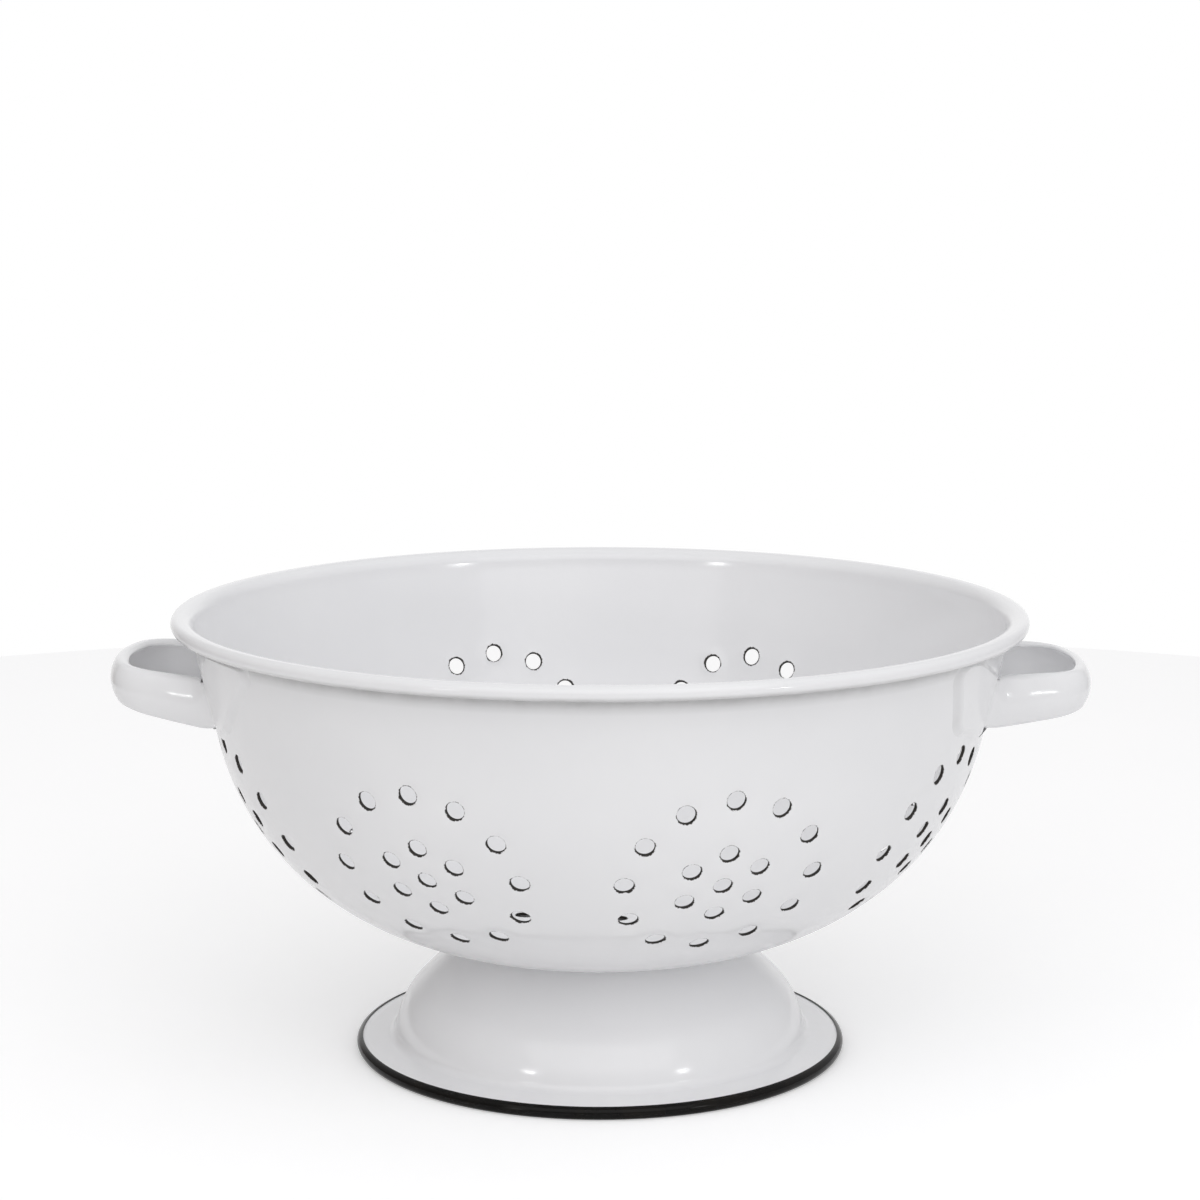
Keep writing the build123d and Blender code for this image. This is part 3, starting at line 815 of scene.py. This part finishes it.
bowl = make_bowl()
foot = make_foot()
edge = make_edge()
right = make_handle("handle_right_enamel", RIGHT_LOOP, 1)
left = make_handle("handle_left_enamel", LEFT_LOOP, -1)
finished(bowl, "white_enamel", "bowl")
finished(foot, "white_enamel", "foot")
finished(edge, "black_enamel", "foot_edge_enamel")
finished(right, "white_enamel", "handle_right")
finished(left, "white_enamel", "handle_left")


def new_material(name):
    """A new material, its node tree and its shader."""
    stuff = bpy.data.materials.new(name)
    stuff.use_nodes = True
    return stuff, stuff.node_tree, stuff.node_tree.nodes["Principled BSDF"]


def noise(tree, scale, detail=2.0, roughness=0.5):
    """Value of a noise over the object's own coordinates, its scale in cells to the metre."""
    place = tree.nodes.new("ShaderNodeTexCoord")
    texture = tree.nodes.new("ShaderNodeTexNoise")
    texture.inputs["Scale"].default_value = scale
    texture.inputs["Detail"].default_value = detail
    texture.inputs["Roughness"].default_value = roughness
    tree.links.new(place.outputs["Object"], texture.inputs["Vector"])
    return texture.outputs["Fac"]


def ranged(tree, value, low, high, to_low, to_high, smoothed=False):
    """The value carried from one range to another, and held inside it."""
    change = tree.nodes.new("ShaderNodeMapRange")
    change.interpolation_type = "SMOOTHSTEP" if smoothed else "LINEAR"
    for socket, number in zip(("From Min", "From Max", "To Min", "To Max"), (low, high, to_low, to_high)):
        change.inputs[socket].default_value = number
    tree.links.new(value, change.inputs["Value"])
    return change.outputs["Result"]


def mottled(tree, scale, detail, to_low=0.0, to_high=1.0, low=0.3, high=0.7, roughness=0.5):
    """Noise whose values from low to high are spread over a range."""
    return ranged(tree, noise(tree, scale, detail, roughness), low, high, to_low, to_high)


def combined(tree, kind, first, second):
    """Arithmetic on two values, each a socket or a number."""
    sum_node = tree.nodes.new("ShaderNodeMath")
    sum_node.operation = kind
    for socket, value in zip(sum_node.inputs, (first, second)):
        if isinstance(value, (int, float)):
            socket.default_value = value
        else:
            tree.links.new(value, socket)
    return sum_node.outputs["Value"]


def blended(tree, share, first, second):
    """A colour between two, each a socket or a colour."""
    mixer = tree.nodes.new("ShaderNodeMix")
    mixer.data_type = "RGBA"
    tree.links.new(share, mixer.inputs["Factor"])
    for socket, colour in zip((mixer.inputs["A"], mixer.inputs["B"]), (first, second)):
        if isinstance(colour, tuple):
            socket.default_value = (*colour, 1)
        else:
            tree.links.new(colour, socket)
    return mixer.outputs["Result"]


def bumped(tree, shader, layers):
    """Bump from several heights, each with its depth in metres."""
    before = None
    for height, depth in layers:
        bump = tree.nodes.new("ShaderNodeBump")
        bump.inputs["Strength"].default_value = 1.0
        bump.inputs["Distance"].default_value = depth
        tree.links.new(height, bump.inputs["Height"])
        if before:
            tree.links.new(before, bump.inputs["Normal"])
        before = bump.outputs["Normal"]
    tree.links.new(before, shader.inputs["Normal"])


# Colours with the share that they cover, added roughness of bare steel, and depths of bumps in metres
ENAMEL_WHITES = (0.86, 0.862, 0.875), (0.885, 0.886, 0.897)
# Grey of the painted shade in creases, and how strongly it covers
PAINTED_SHADE_GREY = (0.36, 0.355, 0.35)
PAINTED_SHADE_SHARE = 0.75
THIN_GREY = (0.30, 0.29, 0.28)
THIN_SHARE = 0.25
BARE_STEELS = (0.005, 0.0045, 0.004), (0.022, 0.016, 0.011)
BARE_DULLNESS = 0.45
EDGE_BLACKS = (0.004, 0.0037, 0.0034), (0.010, 0.0078, 0.006)
WELD_STEELS = (0.34, 0.33, 0.32), (0.52, 0.51, 0.49)
WHITE_WAVE = 0.00016
WHITE_PEEL = 0.000012
BLACK_WAVE = 0.00006
BLACK_PEEL = 0.00001
WELD_GRAIN = 0.00002

# Edge of the bare steel: how much the noises move it, and the values between which it fades
RAGGEDNESS = -0.9
BARE_FULL = -0.56
BARE_NONE = -0.5
THIN_NONE = -0.2


def white_enamel():
    """Glossy white enamel, cut through to dark steel round the holes, with painted shade in the crease
    under the roll and beside the handles' pads.
    """
    stuff, tree, shader = new_material("white_enamel_look")
    white = blended(tree, mottled(tree, 22, 3), *ENAMEL_WHITES)

    # Painted shade in the crease under the roll and beside the handles' pads, mottled a little
    seam_and_painted_shade = tree.nodes.new("ShaderNodeAttribute")
    seam_and_painted_shade.attribute_name = "seam_and_painted_shade"
    uneven_painted_shade = combined(tree, "MULTIPLY", seam_and_painted_shade.outputs["Fac"], mottled(tree, 150, 3, 0.75, 1.1))
    white = blended(tree, combined(tree, "MULTIPLY", uneven_painted_shade, PAINTED_SHADE_SHARE), white, PAINTED_SHADE_GREY)

    # The bare edge: all of a hole's wall and a ragged margin beyond it
    distance = tree.nodes.new("ShaderNodeAttribute")
    distance.attribute_name = "cut"
    coarse = combined(tree, "MULTIPLY", noise(tree, 420, 2), RAGGEDNESS)
    fine = combined(tree, "MULTIPLY", noise(tree, 1700, 3), RAGGEDNESS)
    ragged = combined(tree, "ADD", distance.outputs["Fac"], combined(tree, "ADD", coarse, fine))
    bare = ranged(tree, ragged, BARE_FULL, BARE_NONE, 1, 0)
    thin = ranged(tree, ragged, BARE_NONE, THIN_NONE, 1, 0, smoothed=True)
    rust = blended(tree, mottled(tree, 1300, 3, low=0.35, high=0.65), *BARE_STEELS)
    greyed = blended(tree, combined(tree, "MULTIPLY", thin, THIN_SHARE), white, THIN_GREY)
    tree.links.new(blended(tree, bare, greyed, rust), shader.inputs["Base Color"])

    dull = combined(tree, "MULTIPLY", bare, BARE_DULLNESS)
    gloss = mottled(tree, 65, 3, 0.10, 0.16)
    tree.links.new(combined(tree, "ADD", gloss, dull), shader.inputs["Roughness"])
    bumped(tree, shader, [(noise(tree, 38, 2), WHITE_WAVE), (noise(tree, 620, 2), WHITE_PEEL)])
    return stuff


def black_enamel():
    """Black enamel of the foot's edge, worn a little brown in patches."""
    stuff, tree, shader = new_material("black_enamel_look")
    patches = mottled(tree, 90, 4, low=0.45, high=0.75, roughness=0.6)
    tree.links.new(blended(tree, patches, *EDGE_BLACKS), shader.inputs["Base Color"])
    tree.links.new(mottled(tree, 240, 3, 0.08, 0.17), shader.inputs["Roughness"])
    shader.inputs["Specular IOR Level"].default_value = 0.14
    bumped(tree, shader, [(noise(tree, 120, 2), BLACK_WAVE), (noise(tree, 1100, 2), BLACK_PEEL)])
    return stuff


def weld_steel():
    """Bare steel of the weld nuggets."""
    stuff, tree, shader = new_material("weld_steel_look")
    scale = mottled(tree, 500, 4, low=0.35, high=0.65)
    tree.links.new(blended(tree, scale, *WELD_STEELS), shader.inputs["Base Color"])
    shader.inputs["Metallic"].default_value = 1
    tree.links.new(ranged(tree, scale, 0, 1, 0.5, 0.32), shader.inputs["Roughness"])
    bumped(tree, shader, [(noise(tree, 1500, 3), WELD_GRAIN)])
    return stuff


white, black, steel = white_enamel(), black_enamel(), weld_steel()
for piece in (bowl, foot, right, left):
    piece.data.materials.append(white)
edge.data.materials.append(black)
for name in ("foot_welds", "handle_left_welds", "handle_right_welds"):
    for slot in bpy.data.objects[name].material_slots:
        slot.material = steel

# Camera: its place in metres, its tilt below level, and its lens and sensor in millimetres
CAMERA_PLACE = (0, -0.9354, 0.302)
CAMERA_TILT = 0.1609
CAMERA_LENS = 86.4
CAMERA_SENSOR = 36

camera = bpy.data.objects.new("camera", bpy.data.cameras.new("camera"))
bpy.context.scene.collection.objects.link(camera)
camera.location = CAMERA_PLACE
camera.rotation_euler = (pi / 2 - CAMERA_TILT, 0, 0)
camera.data.lens = CAMERA_LENS
camera.data.sensor_width = CAMERA_SENSOR
bpy.context.scene.camera = camera
bpy.context.scene.view_settings.view_transform = "Standard"

# Surroundings, with lengths in metres. The world's brightness goes from left to right low down and
# then up to the overhead one. The lifts are the light that the floor adds for the camera and in mirrors
LOW_LEFT = (0.20, 0.18, 0.165)
LOW_RIGHT = (0.57, 0.57, 0.58)
OVERHEAD = (0.84, 0.84, 0.85)
BACKDROP_FROM = 0.8
BACKDROP_FULL = 0.95
FLOOR_WHITES = (0.89, 0.89, 0.89), (0.9, 0.9, 0.9)
FLOOR_REACH = 0.8
FLOOR_SIDES = 96
FLOOR_LIFT = 0.26
MIRRORED_LIFT = 0.2
LAMP_AIM = (0, 0, 0.09)

# Name, place, size and brightness of each lamp
LAMPS = (
    ("lamp_front", (0, -1.2, 1.05), (2.4, 1.4), 0.82),
    ("lamp_right", (0.79, -0.79, 0.21), (0.09, 0.05), 25),
    ("glow_right", (0.80, -0.80, 0.22), (0.22, 0.15), 1),
    ("lamp_left", (-0.75, -0.97, 0.25), (0.10, 0.05), 24),
    ("glow_left", (-0.76, -0.98, 0.26), (0.20, 0.15), 1),
)


def make_world():
    """A room that is brighter overhead, darker on the left, and pure white to the camera."""
    world = bpy.data.worlds.new("surround")
    bpy.context.scene.world = world
    world.use_nodes = True
    tree = world.node_tree
    place = tree.nodes.new("ShaderNodeTexCoord")
    axes = tree.nodes.new("ShaderNodeSeparateXYZ")
    tree.links.new(place.outputs["Generated"], axes.inputs["Vector"])
    sideways = ranged(tree, axes.outputs["X"], -1, 1, 0, 1)
    low = blended(tree, sideways, LOW_LEFT, LOW_RIGHT)
    room = blended(tree, ranged(tree, axes.outputs["Z"], 0, 1, 0, 1), low, OVERHEAD)
    path = tree.nodes.new("ShaderNodeLightPath")
    backdrop = ranged(tree, axes.outputs["Y"], BACKDROP_FROM, BACKDROP_FULL, 0, 1)
    mirrored = combined(tree, "MULTIPLY", path.outputs["Is Glossy Ray"], backdrop)
    seen = combined(tree, "MAXIMUM", path.outputs["Is Camera Ray"], path.outputs["Is Transmission Ray"])
    seen = combined(tree, "MAXIMUM", seen, mirrored)
    tree.links.new(blended(tree, seen, room, (1.0, 1.0, 1.0)), tree.nodes["Background"].inputs["Color"])


def make_floor():
    """A pale table top that shows the object's shadow and is white to the camera away from it."""
    mesh = bpy.data.meshes.new("floor")
    turns = np.arange(FLOOR_SIDES) * 2 * pi / FLOOR_SIDES
    corners = np.stack([FLOOR_REACH * np.cos(turns), FLOOR_REACH * np.sin(turns), 0 * turns], -1)
    mesh.from_pydata(corners.tolist(), [], [tuple(range(FLOOR_SIDES))])
    table = bpy.data.objects.new("floor", mesh)
    bpy.context.scene.collection.objects.link(table)
    stuff, tree, shader = new_material("floor_look")
    shader.inputs["Roughness"].default_value = 0.9
    shader.inputs["Specular IOR Level"].default_value = 0.1
    tree.links.new(blended(tree, mottled(tree, 6, 3), *FLOOR_WHITES), shader.inputs["Base Color"])
    path = tree.nodes.new("ShaderNodeLightPath")
    seen = combined(tree, "MAXIMUM", path.outputs["Is Camera Ray"], path.outputs["Is Transmission Ray"])
    seen = combined(tree, "MULTIPLY", seen, FLOOR_LIFT)
    mirrored = combined(tree, "MULTIPLY", path.outputs["Is Glossy Ray"], MIRRORED_LIFT)
    shader.inputs["Emission Color"].default_value = (1, 1, 1, 1)
    tree.links.new(combined(tree, "ADD", seen, mirrored), shader.inputs["Emission Strength"])
    mesh.materials.append(stuff)


def make_lamp(name, place, size, brightness):
    """A soft rectangular lamp aimed at the object, its brightness as a share of white."""
    data = bpy.data.lights.new(name, "AREA")
    data.shape = "RECTANGLE"
    data.size, data.size_y = size
    data.energy = brightness * pi * size[0] * size[1]
    lamp = bpy.data.objects.new(name, data)
    bpy.context.scene.collection.objects.link(lamp)
    lamp.location = place
    lamp.rotation_euler = (Vector(place) - Vector(LAMP_AIM)).to_track_quat("Z", "Y").to_euler()


make_world()
make_floor()
for lamp in LAMPS:
    make_lamp(*lamp)
